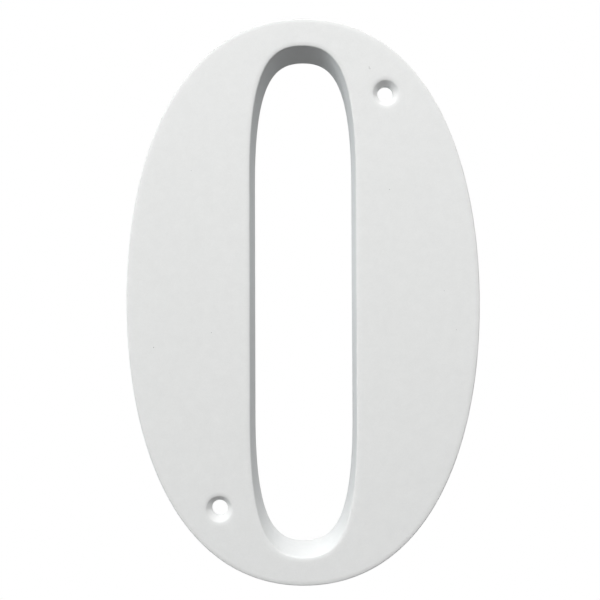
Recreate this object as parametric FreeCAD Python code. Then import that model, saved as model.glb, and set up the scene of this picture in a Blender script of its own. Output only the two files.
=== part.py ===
import FreeCAD, Part
import math
import os

from FreeCAD import Vector

# House numeral zero: one hollow moulding that two screws hold flat against a wall.
# Millimetres. X is to the right, Z is up, and the face looks along -Y.
# The origin is the numeral's centre on the wall plane, which is Y = 0.

# Outside of the numeral, measured at the back rim
overall_width = 95.3
overall_height = 152.4
depth = 12.7

# Strokes, measured at the back rim: the broad limbs, and the thin crown and foot
limb_width = 33.9
crown_thickness = 8.4

# How full each curve is, as shares of the width and height that it spans
outer_side_pull = 0.546
outer_crown_pull = 0.678
counter_side_pull = 0.86
counter_crown_pull = 0.59

# The counter's sides are straight along this length, and its ends are curved
counter_straight_length = 65.4

# The curves are struck as tangent arcs that keep this close to them
arc_tolerance = 0.1

# Section of the moulding: every wall leans by the draft angle towards the front
draft_angle = 2.0
face_wall = 2.6
skirt_wall = 2.4

# Front edges: the face rolls off gently by this angle, then a tight round turns it into the wall
roll_round = 5.0
roll_angle = 12.0
edge_round = 0.45

# Ribs across the hollow limbs, set back so that only the rims touch the wall
rib_thickness = 1.4
rib_setback = 0.8
rib_rows = 3
rib_pitch = 44.0

# Countersunk screw holes, set in from the crown and from the outline at their own height.
# The cone would have its diameter at the face if the rim did not roll off
screw_hole_diameter = 4.3
countersink_diameter = 7.2
countersink_angle = 90.0
countersink_round = 0.8
screw_drop = 20.7
screw_inset = 12.43

draft_slope = math.tan(math.radians(draft_angle))
floor_depth = depth - face_wall


class Oval:
    """An upright oval in the wall plane, with straight sides if half_straight isn't zero."""

    def __init__(self, half_width, half_height, half_straight, side_pull, crown_pull):
        self.half_width = half_width
        self.half_height = half_height
        self.half_straight = half_straight
        self.side_pull = side_pull
        self.crown_pull = crown_pull

    def curve(self, side, end):
        """The quadrant from a side to the crown or foot: side and end are each 1 or -1."""
        rise = self.half_height - self.half_straight
        poles = [
            (self.half_width, self.half_straight),
            (self.half_width, self.half_straight + self.side_pull * rise),
            (self.half_width * self.crown_pull, self.half_height),
            (0.0, self.half_height),
        ]
        curve = Part.BezierCurve()
        curve.setPoles([Vector(side * x, 0, end * z) for x, z in poles])
        return curve

    def wire(self):
        """The closed outline, struck as tangent arcs."""
        edges = []
        for side, end in ((1, 1), (-1, 1), (-1, -1), (1, -1)):
            arcs = self.curve(side, end).toBSpline().toBiArcs(arc_tolerance)
            edges += [arc.toShape() for arc in arcs]
        if self.half_straight > 0:
            for x in (self.half_width, -self.half_width):
                low = Vector(x, 0, -self.half_straight)
                high = Vector(x, 0, self.half_straight)
                edges.append(Part.makeLine(low, high))
        return Part.Wire(Part.__sortEdges__(edges))

    def half_width_at(self, z):
        """Half the width at a height within the curved part of the outline."""
        level = Part.Line(Vector(0, 0, z), Vector(1, 0, z))
        return self.curve(1, 1).intersectCC(level)[0].X


outer = Oval(overall_width / 2, overall_height / 2, 0.0, outer_side_pull, outer_crown_pull)
counter = Oval(
    overall_width / 2 - limb_width,
    overall_height / 2 - crown_thickness,
    counter_straight_length / 2,
    counter_side_pull,
    counter_crown_pull,
)


def drafted(outline, growth, reach):
    """A solid that runs forwards from the wall plane, where its outline ends up grown all round."""
    front = outline.makeOffset2D(growth)
    front.translate(Vector(0, -reach, 0))
    return Part.makeLoft([outline, front], True, True)


def round_edge(centre, radius, start, end):
    """An arc in a section, between two tilts away from the face, in degrees."""
    tilts = [math.radians(tilt) for tilt in (start, (start + end) / 2, end)]
    places = [centre - Vector(math.sin(tilt), math.cos(tilt), 0) * radius for tilt in tilts]
    return Part.Arc(*places).toShape()


def front_edge(foot, steepness, tight_round):
    """A section as (inset, Y): a wall that climbs from its foot, and the two rounds up to the face."""
    steep = math.radians(steepness)
    roll = math.radians(roll_angle)
    inward = Vector(math.sin(steep), math.cos(steep), 0)
    reach = roll_round - tight_round
    centre_y = roll_round - reach * math.cos(roll) - depth
    run = (foot.y + tight_round * inward.y - centre_y) / math.sin(steep)
    wall_end = foot + Vector(math.cos(steep), -math.sin(steep), 0) * run
    tight = wall_end + inward * tight_round
    wide = tight + Vector(math.sin(roll), math.cos(roll), 0) * reach
    turn = round_edge(tight, tight_round, steepness, roll_angle)
    return [Part.makeLine(foot, wall_end), turn, round_edge(wide, roll_round, roll_angle, 0)]


def skirt(outline, way):
    """The faces of one outside wall: way is -1 where the material is within the outline, else 1."""
    section = Part.Wire(front_edge(Vector(), 90 - draft_angle, edge_round))
    faces = []
    for edge in outline.Edges:
        start = edge.valueAt(edge.FirstParameter)
        straight = isinstance(edge.Curve, Part.Line)
        middle = Vector(0, 0, start.z) if straight else edge.Curve.Center
        inward = (start - middle) * way
        turn = math.degrees(math.atan2(-inward.z, inward.x))
        placed = section.copy()
        placed.Placement = FreeCAD.Placement(start, FreeCAD.Rotation(Vector(0, 1, 0), turn))
        if straight:
            faces += placed.extrude(edge.valueAt(edge.LastParameter) - start).Faces
        else:
            sweep = math.degrees(edge.LastParameter - edge.FirstParameter)
            faces += placed.revolve(middle, edge.Curve.Axis, sweep).Faces
    return faces


def outside():
    """The numeral as if it were solid: both walls, the flat of the face and the back."""
    outlines = [outer.wire(), counter.wire()]
    inset = front_edge(Vector(), 90 - draft_angle, edge_round)[-1].Vertexes[-1].X
    flats = [outlines[0].makeOffset2D(-inset), outlines[1].makeOffset2D(inset)]
    for flat in flats:
        flat.translate(Vector(0, -depth, 0))
    faces = skirt(outlines[0], -1) + skirt(outlines[1], 1)
    faces += [Part.makeFace(rings, "Part::FaceMakerBullseye") for rings in (outlines, flats)]
    shell = Part.makeShell(faces)
    shell.sewShape()
    return Part.makeSolid(shell)


def rib(height):
    """The space of one row of ribs: a drafted bar across the whole numeral."""
    edge = rib_thickness / 2
    root = edge + (floor_depth - rib_setback) * draft_slope
    corners = [
        Vector(-overall_width, -rib_setback, height - edge),
        Vector(-overall_width, -rib_setback, height + edge),
        Vector(-overall_width, -floor_depth, height + root),
        Vector(-overall_width, -floor_depth, height - root),
    ]
    section = Part.Face(Part.makePolygon(corners + corners[:1]))
    return section.extrude(Vector(2 * overall_width, 0, 0))


def ribs():
    """Every row of ribs, evenly spaced about the middle of the numeral."""
    lowest = -rib_pitch * (rib_rows - 1) / 2
    return [rib(lowest + rib_pitch * row) for row in range(rib_rows)]


def hollow():
    """The space behind the face, between the two skirts and the ribs."""
    taper = floor_depth * draft_slope
    within_skirt = drafted(outer.wire().makeOffset2D(-skirt_wall), -taper, floor_depth)
    around_counter = drafted(counter.wire().makeOffset2D(skirt_wall), taper, floor_depth)
    return within_skirt.cut(around_counter).cut(ribs())


def screw_hole(x, z):
    """What one screw hole takes out of the face: a straight land, a cone, and a rim that rolls off."""
    hole = screw_hole_diameter / 2
    steepness = 90 - countersink_angle / 2
    cone_height = (countersink_diameter / 2 - hole) * math.tan(math.radians(steepness))
    cone_foot = Vector(hole, cone_height - depth, 0)
    cone = front_edge(cone_foot, steepness, countersink_round)
    flare = cone[-1].Vertexes[-1].Point
    axis_front = Vector(0, -depth, 0)
    axis_back = Vector(0, -floor_depth, 0)
    land_end = Vector(hole, -floor_depth, 0)
    sides = Part.makePolygon([flare, axis_front, axis_back, land_end, cone_foot])
    profile = Part.Face(Part.Wire(Part.__sortEdges__(cone + sides.Edges)))
    cutter = profile.revolve(Vector(0, 0, 0), Vector(0, 1, 0), 360)
    cutter.translate(Vector(x, 0, z))
    return cutter


def screw_places():
    """One place at the upper right, and the same place after half a turn about the centre."""
    z = overall_height / 2 - screw_drop
    x = outer.half_width_at(z) - screw_inset
    return [(x, z), (-x, -z)]


def numeral_zero():
    """The finished moulding."""
    body = outside().cut(hollow())
    return body.cut([screw_hole(x, z) for x, z in screw_places()])


os.makedirs("parts", exist_ok=True)
numeral = numeral_zero()
numeral.exportStep("parts/numeral_zero.step")
print("screw holes at", [(round(x, 3), round(z, 3)) for x, z in screw_places()])
print("valid", numeral.isValid(), "solids", len(numeral.Solids), "volume", round(numeral.Volume, 1))
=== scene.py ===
"""House numeral zero: the finished look of the moulded numeral, with its studio and its camera."""

import logging
import math
from dataclasses import dataclass, field
from enum import Enum

import bmesh
import bpy
from mathutils import Euler, Matrix, Vector


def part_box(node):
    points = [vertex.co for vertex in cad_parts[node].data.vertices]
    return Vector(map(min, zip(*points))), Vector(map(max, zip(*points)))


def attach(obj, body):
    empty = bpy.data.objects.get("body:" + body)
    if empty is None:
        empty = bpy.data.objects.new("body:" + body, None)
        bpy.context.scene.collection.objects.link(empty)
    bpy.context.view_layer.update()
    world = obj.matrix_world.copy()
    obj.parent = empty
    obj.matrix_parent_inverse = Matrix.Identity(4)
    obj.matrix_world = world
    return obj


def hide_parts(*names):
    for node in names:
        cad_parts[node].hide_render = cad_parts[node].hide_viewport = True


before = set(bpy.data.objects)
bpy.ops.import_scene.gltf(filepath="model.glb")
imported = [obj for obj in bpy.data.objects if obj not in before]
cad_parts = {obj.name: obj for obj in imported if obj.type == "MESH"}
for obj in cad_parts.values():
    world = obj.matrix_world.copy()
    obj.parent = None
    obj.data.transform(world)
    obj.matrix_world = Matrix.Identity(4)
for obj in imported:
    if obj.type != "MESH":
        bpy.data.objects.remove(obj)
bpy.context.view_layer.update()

# A millimetre in metres, and the photograph's side in pixels
MM = 0.001
IMAGE_SIDE = 600

NODE = "numeral_zero"
FORWARDS = Vector((0.0, -1.0, 0.0))

# A section's points as (inset, y), and an outline's places with their outward directions as (x, z)
Section = list[tuple[float, float]]
Outline = list[tuple[Vector, Vector]]

# The edges of one closed loop, and what an input of a node takes
Loop = list[bmesh.types.BMEdge]
Value = float | tuple[float, ...] | bpy.types.NodeSocket

log = logging.getLogger("house_numeral")


class Boundary(Enum):
    """Which edge of the numeral a wall follows. The value is the sign of the way into the material."""

    SILHOUETTE = -1
    COUNTER = 1


@dataclass(frozen=True)
class Oval:
    """An upright oval in the wall plane, in millimetres, with straight sides if half_straight isn't zero.

    A quadrant has as many chords as steps says, and so has a straight side.
    """

    half_width: float
    half_height: float
    half_straight: float
    side_pull: float
    crown_pull: float
    steps: int

    def poles(self) -> list[Vector]:
        """The quadrant at the upper right, as a cubic curve.

        Returns:
            Its four poles as (x, z), from the side to the crown.
        """
        rise = self.half_height - self.half_straight
        return [
            Vector((self.half_width, self.half_straight)),
            Vector((self.half_width, self.half_straight + self.side_pull * rise)),
            Vector((self.half_width * self.crown_pull, self.half_height)),
            Vector((0.0, self.half_height)),
        ]

    def quadrant(self) -> Outline:
        """The upper right quadrant, from the side to just short of the crown.

        Returns:
            Pairs of a place and the outward direction there, both as (x, z).
        """
        a, b, c, d = self.poles()
        found = []
        for step in range(self.steps):
            t = step / self.steps
            s = 1.0 - t
            place = a * s**3 + b * 3 * s * s * t + c * 3 * s * t * t + d * t**3
            along = (b - a) * s * s + (c - b) * 2 * s * t + (d - c) * t * t
            found.append((place, Vector((along.y, -along.x)).normalized()))
        return found

    def loop(self) -> Outline:
        """The whole oval, anticlockwise from the right side's upper end.

        Returns:
            Pairs of a place and the outward direction there, both as (x, z).
        """
        quadrant = self.quadrant()
        crown = [(Vector((0.0, self.half_height)), Vector((0.0, 1.0)))]
        upper_right = quadrant + crown
        upper_left = [(_mirrored(p), _mirrored(n)) for p, n in reversed(quadrant)]
        upper = upper_right + upper_left
        lower = [(-place, -outward) for place, outward in upper]
        if self.half_straight == 0.0:
            return upper[:-1] + lower[:-1]
        return upper + self.side(-1) + lower + self.side(1)

    def side(self, sign: int) -> Outline:
        """The inner points of one straight side.

        Args:
            sign: 1 for the right side, run upwards, and -1 for the left side, run downwards.

        Returns:
            Pairs of a place and the outward direction there, both as (x, z).
        """
        outward = Vector((float(sign), 0.0))
        found = []
        for step in range(1, self.steps):
            z = sign * self.half_straight * (2.0 * step / self.steps - 1.0)
            found.append((Vector((sign * self.half_width, z)), outward))
        return found

    def half_width_at(self, z: float) -> float:
        """Half the width at a height.

        Args:
            z: The height above the middle, in millimetres.

        Returns:
            The distance from the upright centre line, in millimetres.
        """
        level = abs(z)
        if level <= self.half_straight:
            return self.half_width
        places = [place for place, _ in self.quadrant()] + [Vector((0.0, self.half_height))]
        for low, high in zip(places, places[1:]):
            if low.y <= level <= high.y:
                share = (level - low.y) / (high.y - low.y)
                return low.x + share * (high.x - low.x)
        return 0.0


def _mirrored(point: Vector) -> Vector:
    """The same (x, z) on the other side of the upright centre line."""
    return Vector((-point.x, point.y))


def arc(centre: tuple[float, float], radius: float, start: float, end: float, steps: int) -> Section:
    """Points along a round in a section.

    Args:
        centre: The round's centre, as (inset, y) in millimetres.
        radius: The round's radius in millimetres.
        start: The first angle in degrees, 0 towards a growing inset and 90 towards a growing y.
        end: The last angle in degrees.
        steps: How many chords the round has.

    Returns:
        The points as (inset, y) in millimetres.
    """
    found = []
    for step in range(steps + 1):
        angle = math.radians(start + (end - start) * step / steps)
        found.append((centre[0] + radius * math.cos(angle), centre[1] + radius * math.sin(angle)))
    return found


@dataclass(frozen=True)
class FrontEdge:
    """How the face turns into a wall: it rolls off gently, then a tight round takes over."""

    roll_round: float = 5.0
    roll_angle: float = 12.0
    tight_steps: int = 8
    roll_steps: int = 3

    def profile(
        self, foot: tuple[float, float], steepness: float, tight_round: float, front_y: float
    ) -> Section:
        """The section from the top of a straight wall to the flat of the face.

        Args:
            foot: A point on the wall, as (inset, y) in millimetres.
            steepness: The wall's tilt away from the face, in degrees.
            tight_round: The radius of the tight round, in millimetres.
            front_y: Where the face is.

        Returns:
            The points as (inset, y) in millimetres.
        """
        steep = math.radians(steepness)
        roll = math.radians(self.roll_angle)
        reach = self.roll_round - tight_round
        y = self.roll_round - reach * math.cos(roll) + front_y
        run = (foot[1] + tight_round * math.cos(steep) - y) / math.sin(steep)
        inset = foot[0] + run * math.cos(steep) + tight_round * math.sin(steep)
        meet = 270.0 - self.roll_angle
        wide = (inset + reach * math.sin(roll), self.roll_round + front_y)
        tight = arc((inset, y), tight_round, 270.0 - steepness, meet, self.tight_steps)
        return tight + arc(wide, self.roll_round, meet, 270.0, self.roll_steps)[1:]


@dataclass(frozen=True)
class WallSection:
    """The section that both skirts share, in millimetres, as (inset, y): the wall plane is y = 0."""

    depth: float
    draft_angle: float = 2.0
    face_wall: float = 2.6
    skirt_wall: float = 2.4
    edge_round: float = 0.45
    core_round: float = 0.7
    rim_break: float = 0.15
    break_steps: int = 3
    front_edge: FrontEdge = FrontEdge()

    @property
    def slope(self) -> float:
        """How far a wall leans for each millimetre of depth."""
        return math.tan(math.radians(self.draft_angle))

    @property
    def floor_y(self) -> float:
        """Where the hollow ends, behind the face."""
        return self.face_wall - self.depth

    def profile(self) -> Section:
        """The section from the hollow's floor, round the rim, to the flat of the face."""
        return self.core_corner() + self.inner_rim() + self.outer_rim() + self.front_corner()

    def core_corner(self) -> Section:
        """The soft corner between the hollow's floor and the inside of the skirt.

        Returns:
            The points as (inset, y), from the floor to the skirt.
        """
        reach = self.core_round
        y = self.floor_y + reach
        lean = math.cos(math.radians(self.draft_angle))
        inset = self.skirt_wall - y * self.slope + reach / lean
        return arc((inset, y), reach, 270.0, 180.0 - self.draft_angle, self.break_steps)

    def inner_rim(self) -> Section:
        """The broken edge between the inside of the skirt and the rim."""
        centre = (self.skirt_wall - self.rim_break, -self.rim_break)
        return arc(centre, self.rim_break, 0.0, 90.0, self.break_steps)

    def outer_rim(self) -> Section:
        """The broken edge between the rim and the outside wall."""
        centre = (self.rim_break, -self.rim_break)
        return arc(centre, self.rim_break, 90.0, 180.0, self.break_steps)

    def front_corner(self) -> Section:
        """The rounds between the outside wall and the face."""
        return self.front_edge.profile((0.0, 0.0), 90.0 - self.draft_angle, self.edge_round, -self.depth)


@dataclass(frozen=True)
class ScrewHole:
    """A countersunk hole whose rim rolls off, in millimetres."""

    x: float
    z: float
    hole_diameter: float = 4.3
    sink_diameter: float = 7.2
    sink_angle: float = 90.0
    rim_round: float = 0.8
    sides: int = 72
    front_edge: FrontEdge = FrontEdge()

    def profile(self, front_y: float, floor_y: float) -> Section:
        """The hole's section from the face to the hollow.

        Args:
            front_y: Where the face is.
            floor_y: Where the hollow's floor is.

        Returns:
            Points as (radius, y).
        """
        hole = self.hole_diameter / 2
        steepness = 90.0 - self.sink_angle / 2
        cone_height = (self.sink_diameter / 2 - hole) * math.tan(math.radians(steepness))
        cone_foot = (hole, front_y + cone_height)
        rim = self.front_edge.profile(cone_foot, steepness, self.rim_round, front_y)
        return rim[::-1] + [cone_foot, (hole, floor_y)]


class NodeKit:
    """Adds nodes, already linked, to one node tree."""

    def __init__(self, tree: bpy.types.NodeTree) -> None:
        """Takes the tree that the nodes go into."""
        self.tree = tree

    def fill(self, node: bpy.types.Node, inputs: dict[str | int, Value]) -> None:
        """Sets or links some of a node's inputs.

        Args:
            node: The node to fill.
            inputs: A constant or an output socket for each input, by its name or position.
        """
        for key, value in inputs.items():
            if isinstance(value, bpy.types.NodeSocket):
                self.tree.links.new(value, node.inputs[key])
            else:
                node.inputs[key].default_value = value

    def add(self, kind: str, inputs: dict[str | int, Value], operation: str = "") -> bpy.types.Node:
        """Adds a node.

        Args:
            kind: The node's type.
            inputs: A constant or an output socket for each input, by its name or position.
            operation: What the node works out, where its type has several choices.

        Returns:
            The new node.
        """
        node = self.tree.nodes.new("ShaderNode" + kind)
        if operation:
            node.operation = operation
        self.fill(node, inputs)
        return node

    def place(self) -> bpy.types.NodeSocket:
        """The place on the piece, in metres and in its own coordinates."""
        return self.add("TexCoord", {}).outputs["Object"]

    def noise(
        self, place: bpy.types.NodeSocket, size: float, detail: float, evenness: float = 0.5
    ) -> bpy.types.NodeSocket:
        """A noise of several layers.

        Args:
            place: The place on the piece, in metres.
            size: How far apart the features of its coarsest layer are, in metres.
            detail: How many finer layers it has, each with features half the size.
            evenness: How strong a layer is, as a share of the next coarser one.

        Returns:
            The noise, from 0 to 1.
        """
        inputs = {"Vector": place, "Scale": 1.0 / size, "Detail": detail, "Roughness": evenness}
        return self.add("TexNoise", inputs).outputs["Fac"]

    def remapped(
        self, value: Value, low: float, high: float, start: float = 0.0, end: float = 1.0
    ) -> bpy.types.NodeSocket:
        """A value carried over from one range to another.

        Args:
            value: The value to carry over.
            low: What the start turns into.
            high: What the end turns into.
            start: Where the value's range starts.
            end: Where the value's range ends.

        Returns:
            The result, which stays within low and high.
        """
        ranges = {"From Min": start, "From Max": end, "To Min": low, "To Max": high}
        return self.add("MapRange", {"Value": value} | ranges).outputs["Result"]

    def bump(
        self, height: bpy.types.NodeSocket, distance: float, under: bpy.types.NodeSocket | None = None
    ) -> bpy.types.NodeSocket:
        """A relief on the surface.

        Args:
            height: The relief, from 0 to 1.
            distance: Its real height in metres.
            under: The normal of a coarser relief that it lies on, if there is one.

        Returns:
            The normal of the relief.
        """
        inputs = {"Height": height, "Distance": distance}
        if under is not None:
            inputs["Normal"] = under
        return self.add("Bump", inputs).outputs["Normal"]

    def combined(self, operation: str, first: Value, second: Value) -> bpy.types.NodeSocket:
        """What one operation makes of two values."""
        return self.add("Math", {0: first, 1: second}, operation).outputs["Value"]

    def blend(self, share: Value, first: Value, second: Value) -> bpy.types.NodeSocket:
        """A colour part of the way from the first to the second."""
        mix = self.add("MixRGB", {"Fac": share, "Color1": first, "Color2": second})
        return mix.outputs["Color"]

    def length(self, vector: Value) -> bpy.types.NodeSocket:
        """How long a vector is."""
        return self.add("VectorMath", {0: vector}, "LENGTH").outputs["Value"]

    def seen_by_eye(self) -> bpy.types.NodeSocket:
        """Tells what is seen from what only gives light.

        Returns:
            1 for what is seen directly, in a gloss or through glass, and 0 for light.
        """
        path = self.add("LightPath", {}).outputs
        direct_or_gloss = self.combined("MAXIMUM", path["Is Camera Ray"], path["Is Glossy Ray"])
        return self.combined("MAXIMUM", direct_or_gloss, path["Is Transmission Ray"])


@dataclass(frozen=True)
class Fleck:
    """A tiny dark fleck on the face, in millimetres, with its middle and its size.

    It is dark up to its core and gone past its fringe, both as shares of half its size.
    """

    x: float
    z: float
    width: float
    height: float
    core: float = 0.7
    fringe: float = 1.3

    def mask(self, kit: NodeKit, place: bpy.types.NodeSocket, front_y: float) -> bpy.types.NodeSocket:
        """Where the fleck is.

        Args:
            kit: The node tree to draw it in.
            place: The place on the piece, in metres.
            front_y: Where the face is, in millimetres.

        Returns:
            1 on the fleck and 0 off it, with a soft edge.
        """
        middle = (self.x * MM, front_y * MM, self.z * MM)
        reach = (self.width * MM / 2, MM, self.height * MM / 2)
        away = kit.add("VectorMath", {0: place, 1: middle}, "SUBTRACT").outputs["Vector"]
        scaled = kit.add("VectorMath", {0: away, 1: reach}, "DIVIDE").outputs["Vector"]
        return kit.remapped(kit.length(scaled), 1.0, 0.0, self.core, self.fringe)


@dataclass(frozen=True)
class Finish:
    """What the moulded plastic looks like: a matte white with a fine grain and a few flecks.

    Sizes and heights are in metres. A detail is how many finer layers a noise has.
    """

    name: str = "matte_white_plastic"
    colour: tuple[float, float, float] = (0.80, 0.80, 0.80)
    colour_spread: float = 0.06
    mottle_size: float = 3.0 * MM
    mottle_detail: float = 4.0
    mottle_evenness: float = 1.0
    roughness: float = 0.75
    roughness_spread: float = 0.05
    refraction: float = 1.49
    grain_size: float = 0.55 * MM
    grain_detail: float = 3.0
    grain_height: float = 0.012 * MM
    wave_size: float = 22.0 * MM
    wave_detail: float = 1.0
    wave_height: float = 0.02 * MM
    fleck_colour: tuple[float, float, float] = (0.36, 0.36, 0.36)
    flecks: tuple[Fleck, ...] = (
        Fleck(18.00, 62.35, 0.12, 0.60),
        Fleck(18.20, 61.95, 0.36, 0.14),
        Fleck(-39.88, -12.58, 0.22, 0.26),
        Fleck(-24.45, -8.70, 0.20, 0.20),
        Fleck(23.25, 29.40, 0.26, 0.15),
        Fleck(40.85, -8.20, 0.18, 0.15),
        Fleck(37.65, 2.25, 0.16, 0.16),
        Fleck(-29.85, 34.75, 0.15, 0.17),
    )

    def material(self, front_y: float) -> bpy.types.Material:
        """The finish as a procedural material on the piece's own coordinates.

        Args:
            front_y: Where the face is, in millimetres.

        Returns:
            The material.
        """
        made = bpy.data.materials.new(self.name)
        made.use_nodes = True
        kit = NodeKit(made.node_tree)
        place = kit.place()
        grain = kit.noise(place, self.grain_size, self.grain_detail)
        wave = kit.noise(place, self.wave_size, self.wave_detail)
        sheen = (self.roughness - self.roughness_spread, self.roughness + self.roughness_spread)
        relief = kit.bump(grain, self.grain_height, kit.bump(wave, self.wave_height))
        inputs = {
            "Base Color": self._colour(kit, place, self._fleck_mask(kit, place, front_y)),
            "Roughness": kit.remapped(grain, *sheen),
            "IOR": self.refraction,
            "Normal": relief,
        }
        kit.fill(made.node_tree.nodes["Principled BSDF"], inputs)
        return made

    def _fleck_mask(
        self, kit: NodeKit, place: bpy.types.NodeSocket, front_y: float
    ) -> bpy.types.NodeSocket:
        """Where any fleck is.

        Args:
            kit: The node tree to draw the flecks in.
            place: The place on the piece, in metres.
            front_y: Where the face is, in millimetres.

        Returns:
            1 on a fleck and 0 elsewhere.
        """
        found = self.flecks[0].mask(kit, place, front_y)
        for fleck in self.flecks[1:]:
            found = kit.combined("MAXIMUM", found, fleck.mask(kit, place, front_y))
        return found

    def _colour(
        self, kit: NodeKit, place: bpy.types.NodeSocket, flecked: bpy.types.NodeSocket
    ) -> bpy.types.NodeSocket:
        """A very slightly mottled white, below its flecks.

        Args:
            kit: The node tree to draw it in.
            place: The place on the piece, in metres.
            flecked: Where the flecks are.

        Returns:
            The colour.
        """
        dull, bright = (
            tuple(c * (1.0 + sign * self.colour_spread) for c in self.colour) + (1.0,)
            for sign in (-1.0, 1.0)
        )
        mottle = kit.noise(place, self.mottle_size, self.mottle_detail, self.mottle_evenness)
        white = kit.blend(mottle, dull, bright)
        return kit.blend(flecked, white, self.fleck_colour + (1.0,))


class MeshKit:
    """Builds a mesh in millimetres out of loops that are skinned to one another."""

    def __init__(self) -> None:
        """Starts an empty mesh."""
        self.bm = bmesh.new()

    def ring(self, oval: Oval, boundary: Boundary, inset: float, y: float) -> Loop:
        """A closed loop that follows an oval at a distance into the material.

        Args:
            oval: The outline at the back rim.
            boundary: Which edge of the numeral the outline is.
            inset: The distance into the material.
            y: The depth of the loop.

        Returns:
            The loop's edges.
        """
        outline = oval.loop()
        made = bmesh.ops.create_circle(self.bm, cap_ends=False, segments=len(outline), radius=1.0)
        for vert, (place, outward) in zip(made["verts"], outline):
            moved = place + outward * boundary.value * inset
            vert.co = Vector((moved.x, y, moved.y))
        return self._edges(made["verts"])

    def circle(self, hole: ScrewHole, radius: float, y: float) -> Loop:
        """A closed loop about a screw hole's axis.

        Args:
            hole: The screw hole.
            radius: The loop's radius.
            y: The depth of the loop.

        Returns:
            The loop's edges.
        """
        upright = Matrix.Rotation(math.pi / 2, 4, "X")
        place = Matrix.Translation(Vector((hole.x, y, hole.z))) @ upright
        made = bmesh.ops.create_circle(
            self.bm, cap_ends=False, segments=hole.sides, radius=radius, matrix=place
        )
        return self._edges(made["verts"])

    def bridge(self, loops: list[Loop]) -> None:
        """Skins each loop to the next."""
        for first, second in zip(loops, loops[1:]):
            bmesh.ops.bridge_loops(self.bm, edges=first + second)

    def flat(self, edges: Loop) -> None:
        """Fills one level with a flat face that goes round every hole in it."""
        bmesh.ops.triangle_fill(self.bm, use_beauty=True, edges=edges, normal=FORWARDS)

    def finished(self, name: str) -> bpy.types.Object:
        """Turns the mesh into an object in metres.

        Args:
            name: What to call the object and its mesh.

        Returns:
            The object, in the scene.
        """
        bmesh.ops.scale(self.bm, vec=Vector((MM, MM, MM)), verts=self.bm.verts)
        bmesh.ops.recalc_face_normals(self.bm, faces=self.bm.faces)
        mesh = bpy.data.meshes.new(name)
        self.bm.to_mesh(mesh)
        self.bm.free()
        made = bpy.data.objects.new(name, mesh)
        bpy.context.scene.collection.objects.link(made)
        return made

    def _edges(self, verts: list[bmesh.types.BMVert]) -> Loop:
        """The edges of one new loop, in the order of its vertices."""
        found = {edge for vert in verts for edge in vert.link_edges}
        return sorted(found, key=lambda edge: min(verts.index(v) for v in edge.verts))


@dataclass(frozen=True)
class Ribs:
    """The rows of ribs across the hollow limbs, in millimetres.

    The ends of a bar reach into the walls by its bite, and its root into the face by half of that.
    """

    thickness: float = 1.4
    setback: float = 0.8
    rows: int = 3
    pitch: float = 44.0
    bite: float = 1.2

    def build(self, outer: Oval, counter: Oval, section: WallSection) -> bpy.types.Object:
        """Models every rib as a closed bar whose ends and root bite into the moulding.

        Args:
            outer: The silhouette at the back rim.
            counter: The counter at the back rim.
            section: The section of the skirts.

        Returns:
            The ribs, as one object.
        """
        kit = MeshKit()
        lowest = -self.pitch * (self.rows - 1) / 2
        for row in range(self.rows):
            height = lowest + self.pitch * row
            near = counter.half_width_at(height) + self.bite
            far = outer.half_width_at(height) - self.bite
            for side in (-1, 1):
                self._bar(kit, section, side * near, side * far, height)
        return kit.finished(NODE + "_ribs")

    def _bar(self, kit: MeshKit, section: WallSection, near: float, far: float, height: float) -> None:
        """One drafted bar.

        Args:
            kit: The mesh to add the bar to.
            section: The section of the skirts.
            near: Where its end at the counter is, from the upright centre line.
            far: Where its end at the silhouette is, from the upright centre line.
            height: Its middle's height.
        """
        root_y = section.floor_y - self.bite / 2
        tip = self.thickness / 2
        root = tip + (-self.setback - root_y) * section.slope
        middle = Vector(((near + far) / 2, (root_y - self.setback) / 2, height))
        size = Vector((abs(far - near), -self.setback - root_y, 2.0 * root))
        place = Matrix.Translation(middle) @ Matrix.Diagonal(size.to_4d())
        for vert in bmesh.ops.create_cube(kit.bm, size=1.0, matrix=place)["verts"]:
            half = tip if vert.co.y > middle.y else root
            vert.co.z = height + math.copysign(half, vert.co.z - height)


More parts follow.
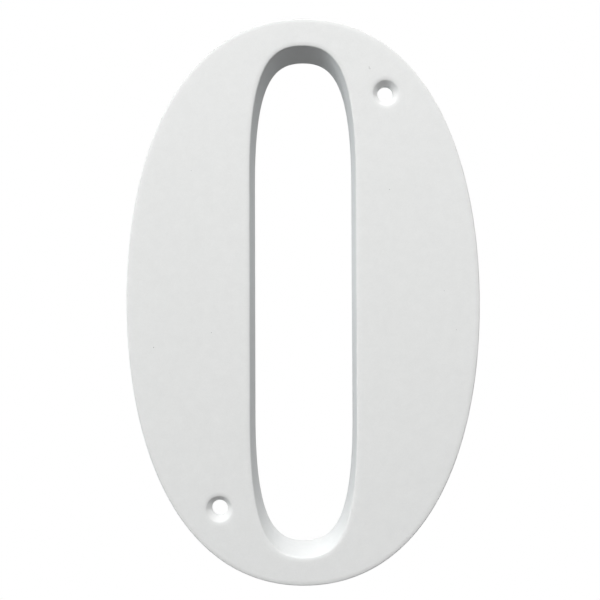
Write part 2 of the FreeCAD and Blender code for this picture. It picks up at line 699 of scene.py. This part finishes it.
@dataclass
class Shell:
    """The face, both skirts and the screw holes, in millimetres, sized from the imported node."""

    limb_width: float = 33.9
    crown_thickness: float = 8.4
    outer_side_pull: float = 0.546
    outer_crown_pull: float = 0.678
    counter_side_pull: float = 0.86
    counter_crown_pull: float = 0.59
    counter_straight_length: float = 65.4
    screw_drop: float = 20.7
    screw_inset: float = 12.43
    outer_steps: int = 72
    counter_steps: int = 48
    low: Vector = field(init=False)
    high: Vector = field(init=False)
    section: WallSection = field(init=False)
    outer: Oval = field(init=False)
    counter: Oval = field(init=False)

    def __post_init__(self) -> None:
        """Takes the overall size from the node, and works out the outlines."""
        low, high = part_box(NODE)
        self.low = low / MM
        self.high = high / MM
        self.section = WallSection(depth=-self.low.y)
        self.outer = Oval(
            self.high.x, self.high.z, 0.0, self.outer_side_pull, self.outer_crown_pull, self.outer_steps
        )
        self.counter = Oval(
            self.high.x - self.limb_width,
            self.high.z - self.crown_thickness,
            self.counter_straight_length / 2,
            self.counter_side_pull,
            self.counter_crown_pull,
            self.counter_steps,
        )

    def screw_holes(self) -> list[ScrewHole]:
        """Places both screw holes.

        Returns:
            One hole at the upper right, and the same hole after half a turn about the centre.
        """
        z = self.high.z - self.screw_drop
        x = self.outer.half_width_at(z) - self.screw_inset
        return [ScrewHole(x, z), ScrewHole(-x, -z)]

    def build(self) -> bpy.types.Object:
        """Skins both walls and both holes, and fills the face and the hollow's floor between them.

        Returns:
            The shell, as one object.
        """
        kit = MeshKit()
        fronts: Loop = []
        floors: Loop = []
        for oval, boundary in ((self.outer, Boundary.SILHOUETTE), (self.counter, Boundary.COUNTER)):
            loops = [kit.ring(oval, boundary, inset, y) for inset, y in self.section.profile()]
            kit.bridge(loops)
            floors += loops[0]
            fronts += loops[-1]
        for hole in self.screw_holes():
            profile = hole.profile(self.low.y, self.section.floor_y)
            loops = [kit.circle(hole, radius, y) for radius, y in profile]
            kit.bridge(loops)
            fronts += loops[0]
            floors += loops[-1]
        kit.flat(fronts)
        kit.flat(floors)
        return kit.finished(NODE + "_shell")


@dataclass(frozen=True)
class MouldedNumeral:
    """The numeral as one hollow moulding."""

    shell: Shell
    ribs: Ribs = Ribs()
    finish: Finish = Finish()
    sharp_angle: float = 35.0
    flat_weight: int = 100

    def build(self) -> bpy.types.Object:
        """Models the numeral, dresses it and puts it in the node's place.

        Returns:
            The finished numeral.
        """
        mesh = self._joined()
        mesh.materials.clear()
        mesh.materials.append(self.finish.material(self.shell.low.y))
        mesh.polygons.foreach_set("use_smooth", [True] * len(mesh.polygons))
        mesh.set_sharp_from_angle(angle=math.radians(self.sharp_angle))
        piece = bpy.data.objects.new(mesh.name, mesh)
        bpy.context.scene.collection.objects.link(piece)
        # The large flats keep their own normals, so that the rounds alone are shaded as curved
        normals = piece.modifiers.new("flat_face_normals", "WEIGHTED_NORMAL")
        normals.keep_sharp = True
        normals.weight = self.flat_weight
        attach(piece, "root")
        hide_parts(NODE)
        return piece

    def _joined(self) -> bpy.types.Mesh:
        """Joins the ribs to the shell.

        Returns:
            The numeral as one mesh.
        """
        shell = self.shell.build()
        ribs = self.ribs.build(self.shell.outer, self.shell.counter, self.shell.section)
        union = shell.modifiers.new("join_ribs", "BOOLEAN")
        union.operation = "UNION"
        union.solver = "EXACT"
        union.object = ribs
        ready = shell.evaluated_get(bpy.context.evaluated_depsgraph_get())
        mesh = bpy.data.meshes.new_from_object(ready)
        mesh.name = "moulded_numeral"
        for spare in (shell, ribs):
            bpy.data.objects.remove(spare)
        return mesh


@dataclass(frozen=True)
class Softbox:
    """A large soft lamp that faces the numeral, in metres and watts."""

    name: str
    place: tuple[float, float, float]
    width: float
    height: float
    watts: float
    colour: tuple[float, float, float] = (1.0, 1.0, 1.0)

    def build(self) -> None:
        """Hangs the lamp and turns it to the numeral's centre."""
        lamp = bpy.data.lights.new(self.name, "AREA")
        lamp.shape = "RECTANGLE"
        lamp.size = self.width
        lamp.size_y = self.height
        lamp.energy = self.watts
        lamp.color = self.colour
        made = bpy.data.objects.new(self.name, lamp)
        made.location = self.place
        made.rotation_mode = "QUATERNION"
        made.rotation_quaternion = Vector(self.place).to_track_quat("Z", "Y")
        bpy.context.scene.collection.objects.link(made)


@dataclass(frozen=True)
class Studio:
    """A pale floor below the numeral, a white surround and soft lamps, in metres.

    The floor's colour is floor_pale where it is seen, and floor_bounce for the light that it throws.
    Where it is seen it is also mixed with plain white, from the share floor_white at its middle to
    all of it at fade_reach.
    """

    floor_drop: float = 0.12
    floor_side: float = 6.0
    floor_pale: float = 0.90
    floor_bounce: float = 0.12
    floor_white: float = 0.50
    fade_reach: float = 0.25
    ambient: float = 0.29
    softboxes: tuple[Softbox, ...] = (
        Softbox("key_softbox", (0.0, -0.86, 0.98), 0.42, 0.42, 10.6, (0.992, 0.993, 0.985)),
        Softbox("upper_front_softbox", (0.0, -1.30, 1.10), 1.10, 1.10, 5.2, (1.0, 0.99, 0.96)),
        Softbox("upper_left_softbox", (-2.10, -1.20, 0.90), 1.65, 1.65, 26.8, (0.95, 0.99, 0.99)),
        Softbox("upper_right_softbox", (1.80, -1.35, 1.35), 1.65, 1.65, 2.9, (0.84, 0.97, 0.98)),
        Softbox("upper_back_softbox", (0.0, 0.45, 0.60), 0.60, 0.60, 0.7, (0.88, 0.96, 1.0)),
        Softbox("low_back_softbox", (-0.35, 1.45, 0.14), 1.80, 0.30, 7.0, (0.84, 0.96, 1.0)),
        Softbox("back_fill_softbox", (0.0, 2.40, 0.10), 0.20, 0.20, 16.0),
    )

    def build(self) -> None:
        """Lays the floor, lights the surround and hangs the lamps."""
        self._floor()
        self._surround()
        for softbox in self.softboxes:
            softbox.build()

    def _floor(self) -> None:
        """A wide pale floor that keeps a soft shadow and fades to white at a distance."""
        bm = bmesh.new()
        bmesh.ops.create_grid(bm, x_segments=1, y_segments=1, size=self.floor_side / 2)
        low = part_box(NODE)[0]
        bmesh.ops.translate(bm, vec=Vector((0.0, 0.0, low.z - self.floor_drop)), verts=bm.verts)
        mesh = bpy.data.meshes.new("studio_floor")
        bm.to_mesh(mesh)
        bm.free()
        mesh.materials.append(self._floor_material())
        floor = bpy.data.objects.new("studio_floor", mesh)
        bpy.context.scene.collection.objects.link(floor)

    def _floor_material(self) -> bpy.types.Material:
        """Diffuse for the light that it throws, and mostly white where it is seen.

        Returns:
            The material.
        """
        made = bpy.data.materials.new("pale_floor")
        made.use_nodes = True
        made.node_tree.nodes.remove(made.node_tree.nodes["Principled BSDF"])
        kit = NodeKit(made.node_tree)
        seen = kit.seen_by_eye()
        pale = kit.remapped(seen, self.floor_bounce, self.floor_pale)
        fade = kit.remapped(kit.length(kit.place()), self.floor_white, 1.0, 0.0, self.fade_reach)
        matte = kit.add("BsdfDiffuse", {"Color": pale}).outputs["BSDF"]
        white = kit.add("Emission", {}).outputs["Emission"]
        share = kit.combined("MULTIPLY", fade, seen)
        mix = kit.add("MixShader", {"Fac": share, 1: matte, 2: white})
        kit.fill(made.node_tree.nodes["Material Output"], {"Surface": mix.outputs["Shader"]})
        return made

    def _surround(self) -> None:
        """A world that lights softly, and is white where it is seen."""
        world = bpy.data.worlds.new("surround")
        world.use_nodes = True
        kit = NodeKit(world.node_tree)
        white = (1.0, 1.0, 1.0, 1.0)
        light = world.node_tree.nodes["Background"]
        kit.fill(light, {"Strength": self.ambient, "Color": white})
        backdrop = kit.add("Background", {"Color": white}).outputs["Background"]
        lit = light.outputs["Background"]
        mix = kit.add("MixShader", {"Fac": kit.seen_by_eye(), 1: lit, 2: backdrop})
        kit.fill(world.node_tree.nodes["World Output"], {"Surface": mix.outputs["Shader"]})
        bpy.context.scene.world = world


@dataclass(frozen=True)
class PhotoCamera:
    """The photograph's viewpoint.

    Its place and sensor are in millimetres, angles in degrees, image sizes in pixels and the reach of
    its view in metres.
    """

    place: tuple[float, float, float] = (2.386, -200.604, -1.337)
    tilt_up: float = 1.302
    roll: float = 0.228
    turn_left: float = 0.209
    focal_pixels: float = 704.32
    centre: tuple[float, float] = (309.39, 288.64)
    sensor_width: float = 36.0
    nearest: float = 0.01
    farthest: float = 20.0

    def build(self) -> None:
        """Sets up the camera and gives it to the scene."""
        lens = bpy.data.cameras.new("photo_camera")
        lens.sensor_width = self.sensor_width
        lens.lens = self.focal_pixels * self.sensor_width / IMAGE_SIDE
        lens.shift_x = (IMAGE_SIDE / 2 - self.centre[0]) / IMAGE_SIDE
        lens.shift_y = (self.centre[1] - IMAGE_SIDE / 2) / IMAGE_SIDE
        lens.clip_start = self.nearest
        lens.clip_end = self.farthest
        made = bpy.data.objects.new("photo_camera", lens)
        made.location = Vector(self.place) * MM
        # Without turns, a camera looks straight down
        turns = (90.0 + self.tilt_up, self.roll, self.turn_left)
        made.rotation_euler = Euler([math.radians(turn) for turn in turns], "XYZ")
        bpy.context.scene.collection.objects.link(made)
        bpy.context.scene.camera = made


def main() -> None:
    """Builds the numeral, then its studio and camera."""
    logging.basicConfig(level=logging.INFO, format="%(name)s: %(message)s")
    bpy.context.scene.view_settings.view_transform = "Standard"
    piece = MouldedNumeral(Shell()).build()
    log.info("%s has %d faces", piece.name, len(piece.data.polygons))
    Studio().build()
    PhotoCamera().build()


if __name__ == "__main__":
    main()
